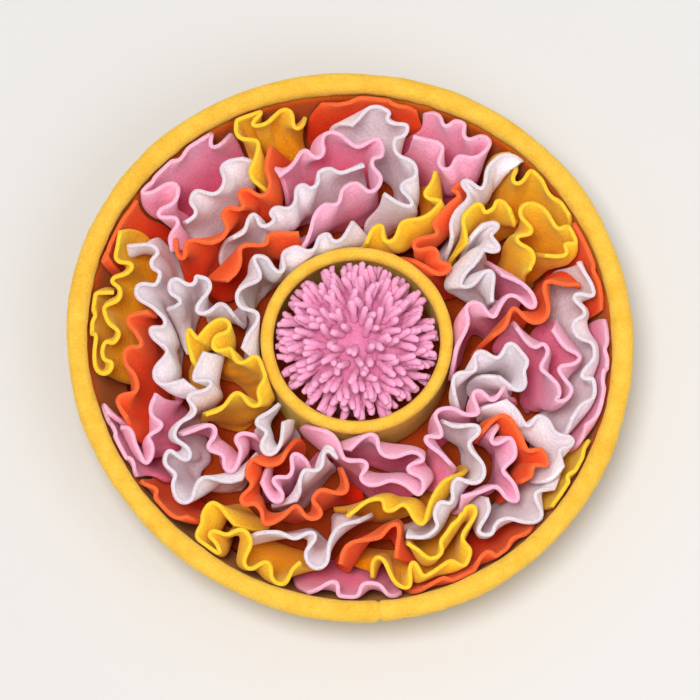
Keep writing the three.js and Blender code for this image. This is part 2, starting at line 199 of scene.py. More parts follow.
def smooth_line(bends, steps=60):
    """A smooth line through the bends, as complex plan points."""
    points = [complex(*bend) for bend in bends]
    ends = [2 * points[0] - points[1]] + points + [2 * points[-1] - points[-2]]
    line = []
    t = np.arange(steps) / steps
    for a, b, c, d in zip(ends, ends[1:], ends[2:], ends[3:]):
        before, here, after = (math.sqrt(abs(q - p)) for p, q in ((a, b), (b, c), (c, d)))
        start = ((b - a) / before - (c - a) / (before + here) + (c - b) / here) * here
        stop = ((c - b) / here - (d - b) / (here + after) + (d - c) / after) * here
        square = -3 * b + 3 * c - 2 * start - stop
        cube = 2 * b - 2 * c + start + stop
        line.append(b + start * t + square * t**2 + cube * t**3)
    return np.append(np.concatenate(line), points[-1])


def arc_lengths(line):
    """The way along a line from its start to each of its points."""
    return np.append(0, np.cumsum(np.abs(np.diff(line))))


def at_lengths(line, lengths, wanted):
    """The points of a line at the wanted ways along it."""
    return np.interp(wanted, lengths, line.real) + 1j * np.interp(wanted, lengths, line.imag)


def fold_strip(bends, index):
    """Stations of one strip on its plain line and on its folded cut edge."""
    line = smooth_line(bends)
    lengths = arc_lengths(line)
    s = np.arange(0, lengths[-1], FOLD_TRACE)
    point = at_lengths(line, lengths, s)
    ahead = at_lengths(line, lengths, np.minimum(s + 0.1, lengths[-1]))
    behind = at_lengths(line, lengths, np.maximum(s - 0.1, 0))
    along = (ahead - behind) / np.abs(ahead - behind)
    drift = DRIFT_SWING * np.sin(s / DRIFT_LENGTH + index)
    phase = TURN * s / FOLD_LENGTH + drift + DRIFT_PER_STRIP * index
    swell = SWELL_SWING * np.sin(s / SWELL_LENGTH + SWELL_PER_STRIP * index)
    depth = FOLD_DEPTH * (SWELL_MEAN + swell)
    folds = point + along * (1j * depth * np.sin(phase) - FOLD_LAP * depth * np.sin(2 * phase))
    rise = np.sqrt(np.abs(np.diff(folds)) ** 2 + np.diff(s) ** 2)
    traced = np.append(0, np.cumsum(rise))
    count = round(traced[-1] / STATION_STEP)
    wanted = np.linspace(0, traced[-1], count + 1)
    folded = at_lengths(folds, traced, wanted)
    flat = at_lengths(line, lengths, np.interp(wanted, traced, s))
    return flat, folded


def hold_inside(points):
    """Keeps stations between the cup and the rim."""
    from_cup = points - COLLAR_CENTRE
    inner = COLLAR_RADIUS + FLEECE / 2 + COLLAR_CLEAR
    near = np.abs(from_cup) < inner
    points = np.where(near, COLLAR_CENTRE + from_cup / np.abs(from_cup) * inner, points)
    outer = BOWL_RADIUS - RIM_WIDTH - FLEECE / 2 - RIM_CLEAR + out_of_round(np.angle(points))
    far = np.abs(points) > outer
    return np.where(far, points / np.abs(points) * outer, points)


def settle_strips(strips):
    """Deepens the folds while the cut edges push each other apart, and gives the settled edges."""
    flat = np.concatenate([strip[0] for strip in strips])
    folded = np.concatenate([strip[1] for strip in strips])
    owner = np.concatenate([np.full(len(strip[0]), k) for k, strip in enumerate(strips)])
    joined = owner[1:] == owner[:-1]
    inner = np.append(False, joined[1:] & joined[:-1])
    inner = np.append(inner, False)
    index = np.arange(len(flat))
    apart = np.abs(index[:, None] - index[None, :])
    same = owner[:, None] == owner[None, :]
    points = flat.copy()
    for step in range(1, GROW_STEPS + SETTLE_STEPS + 1):
        home = flat + (folded - flat) * min(1, step / GROW_STEPS)
        move = HOLD * (home - points)
        span = np.diff(points)
        rest = np.abs(np.diff(home))
        pull = np.where(joined, STRETCH * (1 - rest / np.maximum(np.abs(span), 1e-6)) * span, 0)
        move[:-1] += pull
        move[1:] -= pull
        middle = np.zeros_like(points)
        middle[1:-1] = (points[:-2] + points[2:]) / 2 - points[1:-1]
        move += np.where(inner, BEND * middle, 0)
        gap = points[None, :] - points[:, None]
        distance = np.abs(gap)
        along = np.append(rest, rest[-1])[:, None] * apart
        along = np.where(index[:, None] < index[None, :], along, along.T)
        own = same & (along < OWN_REACH * EDGE_SPACING)
        close = (distance < EDGE_SPACING) & (apart >= 2) & ~own
        one, other = np.nonzero(close)
        push = PUSH * (EDGE_SPACING - distance[one, other]) / np.maximum(distance[one, other], 1e-6)
        shove = push * gap[one, other]
        move -= np.bincount(one, shove.real, len(points))
        move -= 1j * np.bincount(one, shove.imag, len(points))
        points = hold_inside(points + move)
    return np.split(points, np.cumsum([len(strip[0]) for strip in strips])[:-1])


# How the cloth is hung: its grid, clearances in millimetres, fullness and what each step takes up
ROWS = 14
REFINE = 2
CLOTH_HEIGHT = 80
COLUMN_STEP = STATION_STEP / REFINE
HANG_STEPS = 200
LOOK_EVERY = 5
CLEAR = 5.0
LOOK = 1.6
OWN_CLOTH = 3.2
CUP_CLEAR = 0.6
WALL_CLEAR = 1
EDGE_CLEAR = 1.5
FULLNESS = 1.28
GATHER_SHARE = 0.45
STRAIGHT_FLARE = 0.3
LEAST_RISE = 20
RISE_PULL = 0.3
LENGTH_PULL = 0.25
SHOVE = 0.24
COME_BACK = 0.02
LONGEST_MOVE = 1.5
DROP = 0.11
SWAY = 0.13
CROWD = 2.6
SOFT = 0.06
STIFF = 0.1
BROAD = 0.014
IRON_ROUNDS = 4
IRON_PRESS = 0.25
IRON_SPRING = -0.26
FRONT_BEND = 1.3
CROSS_WAVE = 0.6
CUP_PULL_REACH = 14
RIM_PULL_REACH = 12


def close_pairs(points, reach):
    """All pairs of points that lie nearer than reach, found through a grid of cells."""
    cell = np.floor((points - points.min(axis=0)) / reach).astype(np.int64) + 1
    size = cell.max(axis=0) + 2
    key = (cell[:, 0] * size[1] + cell[:, 1]) * size[2] + cell[:, 2]
    order = np.argsort(key, kind="stable")
    ranked = key[order]
    found = []
    offsets = [(dx, dy, dz) for dx in (-1, 0, 1) for dy in (-1, 0, 1) for dz in (-1, 0, 1)]
    for dx, dy, dz in [o for o in offsets if o >= (0, 0, 0)]:
        other = ranked + (dx * size[1] + dy) * size[2] + dz
        first = np.searchsorted(ranked, other, "left")
        if (dx, dy, dz) == (0, 0, 0):
            first = np.arange(len(ranked)) + 1
        stop = np.searchsorted(ranked, other, "right")
        count = np.maximum(stop - first, 0)
        a = np.repeat(np.arange(len(ranked)), count)
        b = np.arange(count.sum()) - np.repeat(np.cumsum(count) - count, count) + np.repeat(first, count)
        found.append(np.stack([order[a], order[b]]))
    one, two = np.concatenate(found, axis=1)
    near = np.sum((points[one] - points[two]) ** 2, axis=1) < reach * reach
    return one[near], two[near]


def keep_in_bowl(points):
    """Keeps cloth off the cup, the sloping wall, the rim and the base."""
    plan = points[..., 0] + 1j * points[..., 1]
    height = np.clip(points[..., 2], SEAT + HEIGHT_ON_BASE, None)
    from_cup = plan - COLLAR_CENTRE
    inner = COLLAR_RADIUS + FLEECE / 2 + CUP_CLEAR
    beside_cup = COLLAR_CENTRE + from_cup / np.abs(from_cup) * inner
    plan = np.where(np.abs(from_cup) < inner, beside_cup, plan)
    share = np.clip((height - SEAT) / (BOWL_HEIGHT - RIM_DEPTH - SEAT), 0, 1)
    foot = BASE_RADIUS - WALL_INSET - WALL_THICKNESS - FLEECE / 2 - WALL_CLEAR
    top = BOWL_RADIUS - RIM_WIDTH - FLEECE / 2 - EDGE_CLEAR
    outer = foot + (top - foot) * share + share * out_of_round(np.angle(plan))
    plan = np.where(np.abs(plan) > outer, plan / np.abs(plan) * outer, plan)
    return np.stack([plan.real, plan.imag, height], axis=-1)


def flop_wave(along, across, lengths, starts):
    """A slow wave with a bent front, and a weaker wave across it."""
    front = FRONT_BEND * np.sin(across / lengths[1] + starts[0])
    return np.sin(along / lengths[0] + front) + CROSS_WAVE * np.sin(across / lengths[2] + starts[1])


def sway_at(plan):
    """The way that neighbouring strips flop over together, and towards a cup or rim beside them."""
    x = plan.real
    y = plan.imag
    east = flop_wave(x, y, (19, 27, 15), (0.6, 2.1))
    north = flop_wave(y, x, (21, 25, 14), (2.0, 0.4))
    from_cup = plan - COLLAR_CENTRE
    near_cup = np.exp((COLLAR_RADIUS - np.abs(from_cup)) / CUP_PULL_REACH)
    near_rim = np.exp((np.abs(plan) - BOWL_RADIUS + RIM_WIDTH) / RIM_PULL_REACH)
    to_cup = -from_cup / np.abs(from_cup) * near_cup
    to_rim = plan / np.abs(plan) * near_rim
    way = east + 1j * north + CROWD * (to_cup + to_rim)
    return np.stack([way.real, way.imag, 0 * x], axis=-1)


def stretch_back(points, rise, span, joined):
    """Moves that bring neighbouring points to the spacing that the cloth was cut to."""
    move = np.zeros_like(points)
    up = points[1:] - points[:-1]
    far = np.linalg.norm(up, axis=-1, keepdims=True)
    pull = RISE_PULL * (far - rise) / far * up
    move[:-1] += pull
    move[1:] -= pull
    on = points[:, 1:] - points[:, :-1]
    far = np.linalg.norm(on, axis=-1, keepdims=True) + 1e-6
    pull = LENGTH_PULL * (far - span[..., None]) / far * on * joined[None, :, None]
    move[:, :-1] += pull
    move[:, 1:] -= pull
    return move


def bend_back(points, owner, inside):
    """Moves that straighten the cloth a little, up its rows, along them and over broader bends."""
    move = np.zeros_like(points)
    move[1:-1] += SOFT * (points[:-2] + points[2:] - 2 * points[1:-1])
    bent = points[:, :-2] + points[:, 2:] - 2 * points[:, 1:-1]
    move[:, 1:-1] += STIFF * bent * inside[None, 1:-1, None]
    broad = points[:, :-4] + points[:, 4:] - 2 * points[:, 2:-2]
    move[:, 2:-2] += BROAD * broad * (owner[4:] == owner[:-4])[None, :, None]
    return move


def push_apart(points, one, two):
    """Moves that take pairs of points off each other where they lie too close."""
    listed = points.reshape(-1, 3)
    gap = listed[two] - listed[one]
    distance = np.linalg.norm(gap, axis=1)
    share = SHOVE * (CLEAR - distance) / np.maximum(distance, 0.05)
    push = np.where(distance < CLEAR, share, 0)[:, None] * gap
    move = []
    for axis in range(3):
        on_two = np.bincount(two, push[:, axis], len(listed))
        move.append(on_two - np.bincount(one, push[:, axis], len(listed)))
    return np.stack(move, axis=-1).reshape(points.shape)


def iron(points, joined, inside):
    """Presses out crinkles that fleece is too thick to hold, and straightens the strips' ends."""
    for press in (IRON_PRESS, IRON_SPRING) * IRON_ROUNDS:
        bent = points[:, :-2] + points[:, 2:] - 2 * points[:, 1:-1]
        points[:, 1:-1] += press * bent * inside[None, 1:-1, None]
        points[1:-1] += press * (points[:-2] + points[2:] - 2 * points[1:-1])
    for end, inward in ((np.append(True, ~joined), 1), (np.append(~joined, True), -1)):
        next_to = points[:, np.roll(end, inward)]
        points[:, end] = 2 * next_to - points[:, np.roll(end, 2 * inward)]
    return keep_in_bowl(points)


def hang_cloth(strips, edges):
    """Lets all strips flop and settle on each other, and gives rows of points from seam to edge."""
    flats = [smooth_line([(p.real, p.imag) for p in strip[0]], REFINE) for strip in strips]
    tops = [smooth_line([(p.real, p.imag) for p in edge], REFINE) for edge in edges]
    owner = np.concatenate([np.full(len(line), k) for k, line in enumerate(tops)])
    flat = np.concatenate(flats)
    top = np.concatenate(tops)
    seam = sewn_point(flat)
    joined = owner[1:] == owner[:-1]
    inside = np.append(np.append(False, joined[1:] & joined[:-1]), False)
    v = np.linspace(0, 1, ROWS)[:, None]
    rise = CLOTH_HEIGHT / (ROWS - 1)
    flare = STRAIGHT_FLARE * v + (1 - STRAIGHT_FLARE) * v**3
    plan = seam + (flat - seam) * v + (top - flat) * flare
    lean = np.abs(top - seam)
    upright = np.sqrt(np.maximum(STRIP_HEIGHT**2 - lean**2, LEAST_RISE**2))
    height = SEAT + HEIGHT_ON_BASE + upright * v
    points = np.stack([plan.real, plan.imag, height], axis=-1)
    home = points.copy()
    wide = np.where(joined, np.abs(np.diff(top)), 1)
    tight = np.where(joined, np.abs(np.diff(seam)), 1)
    span = tight + (FULLNESS * wide - tight) * np.minimum(1, v / GATHER_SHARE)
    column = np.broadcast_to(np.arange(len(flat)), (ROWS, len(flat))).ravel()
    row = np.broadcast_to(np.arange(ROWS)[:, None], (ROWS, len(flat))).ravel()
    strip = owner[column]
    for step in range(HANG_STEPS):
        if step % LOOK_EVERY == 0:
            one, two = close_pairs(points.reshape(-1, 3), CLEAR + LOOK)
            cloth_way = np.abs(column[one] - column[two]) * COLUMN_STEP
            cloth_way += np.abs(row[one] - row[two]) * rise
            apart = (strip[one] != strip[two]) | (cloth_way > OWN_CLOTH * CLEAR)
            one = one[apart]
            two = two[apart]
        move = stretch_back(points, rise, span, joined)
        move += bend_back(points, owner, inside)
        move += push_apart(points, one, two)
        easing = min(1, 2 - 2 * step / HANG_STEPS)
        move[..., 2] -= DROP * easing * v
        move += SWAY * easing * (v**2)[..., None] * sway_at(plan)
        move[-1] += COME_BACK * (home[-1] - points[-1])
        size = np.linalg.norm(move, axis=-1, keepdims=True)
        move *= np.minimum(1, LONGEST_MOVE / np.maximum(size, 1e-6))
        points = points + move
        points[0] = home[0]
        points = keep_in_bowl(points)
    points = iron(points, joined, inside)
    return np.split(points, np.cumsum([len(line) for line in tops])[:-1], axis=1)


def new_piece(name, points, faces, finish, marks=None):
    """One smooth mesh object at the origin from points in millimetres, with its finish and marks."""
    mesh = bpy.data.meshes.new(name)
    mesh.from_pydata((np.asarray(points) * MM).tolist(), [], [[int(i) for i in face] for face in faces])
    for mark, values in (marks or {}).items():
        layer = mesh.attributes.new(mark, "FLOAT", "POINT")
        layer.data.foreach_set("value", np.asarray(values, dtype=np.float32))
    mesh.shade_smooth()
    mesh.materials.append(finish)
    piece = bpy.data.objects.new(name, mesh)
    bpy.context.scene.collection.objects.link(piece)
    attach(piece, "root")
    return piece


def grid_faces(rows, columns, closed_rows=False, closed_columns=False):
    """Quads over a grid of points kept row by row."""
    r = np.arange(rows if closed_rows else rows - 1)
    c = np.arange(columns if closed_columns else columns - 1)
    a = r[:, None] * columns + c[None, :]
    b = r[:, None] * columns + (c[None, :] + 1) % columns
    below = ((r[:, None] + 1) % rows) * columns
    d = below + c[None, :]
    e = below + (c[None, :] + 1) % columns
    return np.stack([a, b, e, d], axis=-1).reshape(-1, 4)


# Painted shade: the height under which the cloth is painted in a deeper shade, and over how much depth
# the shade deepens, in millimetres
PAINTED_SHADE_TOP = BOWL_HEIGHT - 4
PAINTED_SHADE_DEPTH = 40

# Section of a cut edge, in half thicknesses: across the cloth and beyond its last row
CUT_EDGE = [(1.0, 0.0), (0.9, 0.45), (0.5, 0.72), (-0.5, 0.72), (-0.9, 0.45), (-1.0, 0.0)]


def finer(points, times):
    """A smooth curve through rows of points, with more rows between them."""
    ends = np.concatenate([2 * points[:1] - points[1:2], points, 2 * points[-1:] - points[-2:-1]])
    a, b, c, d = ends[:-3], ends[1:-2], ends[2:-1], ends[3:]
    rows = []
    for k in range(times):
        t = k / times
        rows.append(
            b + 0.5 * t * (c - a + t * (2 * a - 5 * b + 4 * c - d + t * (3 * (b - c) + d - a)))
        )
    mixed = np.stack(rows, axis=1).reshape((-1,) + points.shape[1:])
    return np.concatenate([mixed, points[-1:]])


def ruffle(name, grid, finish):
    """One gathered strip: cloth with two faces and a soft cut edge, from its seam up to its folds."""
    middle = finer(grid, 2)
    middle = finer(middle.swapaxes(0, 1), 2).swapaxes(0, 1)
    rows = len(middle)
    across = np.gradient(middle, axis=1)
    upward = np.gradient(middle, axis=0)
    normal = np.cross(across, upward)
    normal /= np.linalg.norm(normal, axis=-1, keepdims=True) + 1e-9
    tip = upward[-1] / (np.linalg.norm(upward[-1], axis=-1, keepdims=True) + 1e-9)
    half = FLEECE / 2
    left = middle[:-1] + half * normal[:-1]
    right = (middle[:-1] - half * normal[:-1])[::-1]
    edge = [middle[-1] + half * (a * normal[-1] + b * tip) for a, b in CUT_EDGE]
    rings = np.concatenate([left, np.array(edge), right])
    count, columns = rings.shape[:2]
    start = np.arange(count) * columns
    stop = start + columns - 1
    ends = []
    for k in range(count // 2 - 1):
        far = count - 1 - k
        ends.append([start[k], start[k + 1], start[far - 1], start[far]])
        ends.append([stop[far], stop[far - 1], stop[k + 1], stop[k]])
    faces = np.concatenate([grid_faces(count, columns, closed_rows=True), ends])[:, ::-1]
    # Painted shade: the rows of the cut edge take the fleece's cut colour, set close to or below the
    # face to offset the light that the upturned edges catch
    cut = np.zeros((count, columns))
    cut[rows - 1 : rows + 5] = 1
    cut[rows - 2] = 0.3
    cut[rows + 5] = 0.3
    # Painted shade: the lower the cloth hangs below that height, the more of the deeper shade colour it
    # takes
    under = np.clip((PAINTED_SHADE_TOP - rings[:, :, 2]) / PAINTED_SHADE_DEPTH, 0, 1)
    marks = {"cut": cut.ravel(), "painted_shade_share": under.ravel()}
    piece = new_piece(name, rings.reshape(-1, 3), faces, finish, marks)
    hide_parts(name.removesuffix("_cloth"))
    return piece


# The butt join of the rim binding: where it is, its reach and width round the rim, and its depth
JOIN_ANGLE = math.radians(275.8)
JOIN_REACH = 0.03
JOIN_WIDTH = 0.007
JOIN_DEPTH = 1.1


def soft_oval(middle, under, width, depth, corners=28, square=2.3):
    """Section of a stuffed roll as [radius, height] points, a little squarer than an ellipse."""
    angle = TURN * np.arange(corners) / corners
    c = np.cos(angle)
    s = np.sin(angle)
    radius = middle + width / 2 * np.sign(c) * np.abs(c) ** (2 / square)
    height = under + depth / 2 * (1 + np.sign(s) * np.abs(s) ** (2 / square))
    return np.stack([radius, height], axis=-1)


def sewn_ring(
    name,
    section,
    finish,
    centre=0j,
    columns=420,
    rumple=0.5,
    pucker=0.35,
    hand=True,
    join=None,
    inside=0,
):
    """A stuffed ring turned from its section, with the dents and puckers of hand sewing."""
    angle = TURN * np.arange(columns) / columns
    if join is not None:
        angle = np.sort(np.append(angle, join + np.linspace(-1, 1, 13) * JOIN_REACH))
        columns = len(angle)
    radius = section[:, 0][:, None] + 0 * angle[None, :]
    height = section[:, 1][:, None] + 0 * angle[None, :]
    middle = section.mean(axis=0)
    out = section - middle
    out = out / (np.linalg.norm(out, axis=1, keepdims=True) + 1e-9)
    # Sines of unlike counts round the ring stand in for chance dents, puckers and tucks
    wave = np.sin(11 * angle + 1.1) * 0.5 + np.sin(23 * angle + 2 * np.sin(5 * angle)) * 0.35
    side = np.arange(len(section))[:, None] / len(section) * TURN
    fine = np.sin(97 * angle + 3 * np.sin(7 * angle) + 2.0 * np.sin(side))
    tuck = np.sin(61 * angle + 2 * np.sin(9 * angle) + 1.3 * side)
    swell = rumple * wave + pucker * (0.6 * fine + 0.4 * tuck) * (0.45 - 0.55 * out[:, 1][:, None])
    if join is not None:
        swell = swell - JOIN_DEPTH * np.exp(-(((angle - join) / JOIN_WIDTH) ** 2))
    radius = radius + out[:, 0][:, None] * swell
    height = height + out[:, 1][:, None] * swell
    if hand:
        share = np.clip(height / (BOWL_HEIGHT - RIM_DEPTH), 0, 1)
        radius = radius + share * out_of_round(angle)
    plan = centre + radius * np.exp(1j * angle)
    points = np.stack([plan.real, plan.imag, height], axis=-1)
    faces = grid_faces(len(section), columns, closed_rows=True, closed_columns=True)[:, ::-1]
    # Painted shade: the last inside points of the section, the ring's inner side, take the deeper shade
    # colour of its fleece
    under = np.zeros(points.shape[:2])
    under[len(section) - inside :] = 1
    piece = new_piece(name, points.reshape(-1, 3), faces, finish, {"painted_shade_share": under.ravel()})
    return piece


def colour(red, green, blue):
    """A finish's colour from its 0 to 255 screen values."""
    def linear(value):
        share = value / 255
        return share / 12.92 if share <= 0.04045 else ((share + 0.055) / 1.055) ** 2.4
    return (linear(red), linear(green), linear(blue), 1)


# Numbers of the colour sockets of a mix node
MIX_UNDER = 6
MIX_OVER = 7
MIX_RESULT = 2


def link(tree, source, socket, target, into):
    """Joins one node's output to another node's input."""
    tree.links.new(source.outputs[socket], target.inputs[into])


def noise(tree, place, scale, detail, roughness):
    """Soft noise over the cloth."""
    node = tree.nodes.new("ShaderNodeTexNoise")
    node.inputs["Scale"].default_value = scale
    node.inputs["Detail"].default_value = detail
    node.inputs["Roughness"].default_value = roughness
    link(tree, place, "Object", node, "Vector")
    return node


def ramp(tree, source, taken, given):
    """A noise carried from one range of values into another."""
    node = tree.nodes.new("ShaderNodeMapRange")
    node.inputs["From Min"].default_value, node.inputs["From Max"].default_value = taken
    node.inputs["To Min"].default_value, node.inputs["To Max"].default_value = given
    link(tree, source, "Fac", node, "Value")
    return node


def mark(tree, name):
    """A mark that the mesh carries at its points."""
    node = tree.nodes.new("ShaderNodeAttribute")
    node.attribute_name = name
    return node


def colour_over(tree, over, share, socket):
    """A colour laid over another by a share that comes from a socket."""
    node = tree.nodes.new("ShaderNodeMix")
    node.data_type = "RGBA"
    node.inputs[MIX_OVER].default_value = over
    link(tree, share, socket, node, "Factor")
    return node


def fleece(name, face, cut, worn, painted_shade, sheen, glow=0.7):
    """Brushed fleece: short pile, soft mottling, painted shade in a deeper colour down in the folds, and
    a cut edge whose colour against the face is painted shade.
    """
    finish = bpy.data.materials.new(name)
    finish.use_nodes = True
    tree = finish.node_tree
    shader = tree.nodes["Principled BSDF"]
    place = tree.nodes.new("ShaderNodeTexCoord")
    pile = noise(tree, place, scale=750, detail=4, roughness=0.65)
    wear = noise(tree, place, scale=95, detail=3, roughness=0.5)
    fade = ramp(tree, wear, taken=(0.35, 0.7), given=(0, 1))
    mottle = colour_over(tree, worn, fade, "Result")
    mottle.inputs[MIX_UNDER].default_value = face
    # Painted shade: a mark at the points lays a deeper colour over the cloth down in the folds and on
    # inner faces, where shade falls
    painted_shade_mix = colour_over(tree, painted_shade, mark(tree, "painted_shade_share"), "Fac")
    link(tree, mottle, MIX_RESULT, painted_shade_mix, MIX_UNDER)
    # Painted shade: the cut mark lays the cut colour over the face, on the ruffles' cut edges and
    # towards the noodles' tips
    painted_edge_mix = colour_over(tree, cut, mark(tree, "cut"), "Fac")
    link(tree, painted_shade_mix, MIX_RESULT, painted_edge_mix, MIX_UNDER)
    grain = ramp(tree, pile, taken=(0.3, 0.7), given=(0.82, 1.06))
    shade = tree.nodes.new("ShaderNodeMix")
    shade.data_type = "RGBA"
    shade.blend_type = "MULTIPLY"
    shade.inputs["Factor"].default_value = 1
    link(tree, painted_edge_mix, MIX_RESULT, shade, MIX_UNDER)
    link(tree, grain, "Result", shade, MIX_OVER)
    link(tree, shade, MIX_RESULT, shader, "Base Color")
    tufts = tree.nodes.new("ShaderNodeTexVoronoi")
    tufts.inputs["Scale"].default_value = 480
    link(tree, place, "Object", tufts, "Vector")
    fuzz = tree.nodes.new("ShaderNodeMath")
    fuzz.operation = "SUBTRACT"
    link(tree, pile, "Fac", fuzz, 0)
    link(tree, tufts, "Distance", fuzz, 1)
    nap = tree.nodes.new("ShaderNodeBump")
    nap.inputs["Strength"].default_value = 0.55
    nap.inputs["Distance"].default_value = 0.0006
    link(tree, fuzz, "Value", nap, "Height")
    link(tree, nap, "Normal", shader, "Normal")
    look = {
        "Roughness": 0.95,
        "Subsurface Weight": glow,
        "Subsurface Radius": (1.0, 0.6, 0.45),
        "Subsurface Scale": 0.005,
        "Specular IOR Level": 0.15,
        "Sheen Weight": 0.25,
        "Sheen Roughness": 0.5,
        "Sheen Tint": sheen,
    }
    for socket, value in look.items():
        shader.inputs[socket].default_value = value
    return finish


def noodle(n):
    """The spine of one noodle: its root in the dome, the way it heads, how it bends, and its length."""
    # Sines of the noodle's number stand in for chance
    height = CROWN_TOP - CROWN_RANGE * n / (NOODLE_COUNT - 1)
    ring = math.sqrt(1 - height * height)
    angle = n * GOLDEN_ANGLE + 0.25 * math.sin(2.7 * n)
    out = Vector((ring * math.cos(angle), ring * math.sin(angle), height))
    root = Vector((out.x, out.y, out.z * DOME_FLATNESS)) * (POMPOM_RADIUS - NOODLE_ROOT)
    root.z += DOME_MIDDLE
    side = Vector((-out.y, out.x, 0.3 * ring)) * (0.1 + 0.3 * math.sin(1.9 * n))
    sway = Vector((math.sin(3.1 * n), math.cos(4.3 * n), 0.5 * math.sin(5.9 * n))) * 0.3
    spread = Vector((NOODLE_SPREAD * out.x, NOODLE_SPREAD * out.y, 0.12 * ring))
    heading = (out + spread + 0.7 * side + 1.1 * sway).normalized()
    bend = 0.7 * side + 0.8 * sway + 0.25 * spread
    length = NOODLE_LENGTH * (0.92 + 0.14 * math.cos(5 * n)) + NOODLE_ROOT
    return root, heading, bend, length


def add_noodle(n, points, faces, tips):
    """Adds the rings, the rounded tip and the closed root of one noodle to the lists of the pompom."""
    root, heading, bend, reach = noodle(n)
    across = heading.orthogonal().normalized()
    other = heading.cross(across)
    start = len(points)
    for k in range(NOODLE_RINGS + 1):
        share = min(1, k / (NOODLE_RINGS - 1))
        spine = root + heading * (reach * share) + bend * (reach * NOODLE_BEND * share * share)
        lump = 1 + 0.12 * math.sin(2.3 * k + n)
        plump = NOODLE_RADIUS * (lump if k < NOODLE_RINGS - 1 else 0.78)
        if k == NOODLE_RINGS:
            points.append(spine + heading * (0.55 * NOODLE_RADIUS))
            tips.append(1)
            continue
        for j in range(NOODLE_SIDES):
            turn = TURN * (j + 0.5 * (k % 2)) / NOODLE_SIDES
            points.append(spine + (across * math.cos(turn) + other * math.sin(turn)) * plump)
            # Painted shade: the noodle takes more of the darker face colour towards its root, where
            # shade falls between the noodles, and the pale cut colour at its tip
            tips.append(0.3 + 0.7 * share)
    faces += (grid_faces(NOODLE_RINGS, NOODLE_SIDES, closed_columns=True) + start).tolist()
    last = start + (NOODLE_RINGS - 1) * NOODLE_SIDES
    for j in range(NOODLE_SIDES):
        faces.append([last + j, last + (j + 1) % NOODLE_SIDES, len(points) - 1])
    faces.append([start + j for j in range(NOODLE_SIDES)][::-1])


def dome_profile():
    """The soft dome under the noodles as [radius, height] points, from its foot to its crown."""
    profile = [
        (0.7 * POMPOM_RADIUS, 0),
        (POMPOM_RADIUS - 3, 1.2),
        (POMPOM_RADIUS - 0.8, 5),
        (POMPOM_RADIUS, 12),
        (POMPOM_RADIUS + 0.6, 0.6 * DOME_MIDDLE),
    ]
    for k in range(9):
        angle = math.pi / 2 * k / 8
        crown = DOME_MIDDLE + DOME_FLATNESS * POMPOM_RADIUS * math.sin(angle)
        profile.append((POMPOM_RADIUS * math.cos(angle) + 0.05, crown))
    return profile


def noodle_ball(finish):
    """The pompom in the cup: a soft dome with slim chenille noodles lying out from its middle."""
    points = []
    tips = []
    profile = dome_profile()
    for reach, up in profile:
        for j in range(DOME_SIDES):
            turn = TURN * j / DOME_SIDES
            points.append((reach * math.cos(turn), reach * math.sin(turn), up))
            # Painted shade: the dome under the noodles takes mostly the darker face colour, as shade
            # beneath them
            tips.append(0.3)
    faces = grid_faces(len(profile), DOME_SIDES, closed_columns=True).tolist()
    faces.append(list(range(DOME_SIDES))[::-1])
    faces.append([(len(profile) - 1) * DOME_SIDES + j for j in range(DOME_SIDES)])
    for n in range(NOODLE_COUNT):
        add_noodle(n, points, faces, tips)
    placed = np.array([tuple(p) for p in points])
    inside = COLLAR_RADIUS - COLLAR_ROLL - 1
    reach = np.hypot(placed[:, 0], placed[:, 1])
    placed[:, :2] *= np.minimum(1, inside / np.maximum(reach, 1))[:, None]
    placed += (COLLAR_CENTRE.real, COLLAR_CENTRE.imag, SEAT)
    ball = new_piece("noodle_ball_chenille", placed, faces, finish, {"cut": tips})
    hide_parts("noodle_ball")
    return ball


def base_pad(finish):
    """The round padded base, softly crowned towards its sewn edge."""
    columns = 240
    angle = TURN * np.arange(columns) / columns
    underside = [(0.5, 0.25), (40, 0.25), (100, 0.2), (135, 0.1)]
    lower_edge = [(BASE_RADIUS - 5, 0.5), (BASE_RADIUS - 1.5, 2), (BASE_RADIUS, 4)]
    upper_edge = [(BASE_RADIUS - 1.5, 6.2), (BASE_RADIUS - 5, 7.6)]
    top = [(130, BASE_THICKNESS), (60, BASE_THICKNESS), (0.5, BASE_THICKNESS)]
    section = np.array(underside + lower_edge + upper_edge + top)
    radius = section[:, 0][:, None] + 0 * angle[None, :]
    height = section[:, 1][:, None] + 0 * angle[None, :]
    plan = radius * np.exp(1j * angle)
    points = np.stack([plan.real, plan.imag, height], axis=-1).reshape(-1, 3)
    faces = grid_faces(len(section), columns, closed_columns=True)[:, ::-1].tolist()
    faces.append(list(range(columns)))
    last = (len(section) - 1) * columns
    faces.append([last + j for j in range(columns)][::-1])
    # Painted shade: the top of the base takes the dark shade colour of the shell fleece, where it lies
    # in the shaded gaps between the ruffles
    pad = new_piece("base_pad", points, faces, finish, {"painted_shade_share": points[:, 2] > BASE_THICKNESS - 1})
    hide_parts("base_panel")
    return pad


def rim_roll(finish):
    """The rolled rim, with the butt join of its binding."""
    middle = BOWL_RADIUS - RIM_WIDTH / 2
    section = soft_oval(middle, BOWL_HEIGHT - RIM_DEPTH, RIM_WIDTH, RIM_DEPTH)
    rim = sewn_ring("rim_roll", section, finish, join=JOIN_ANGLE)
    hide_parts("rim_binding")


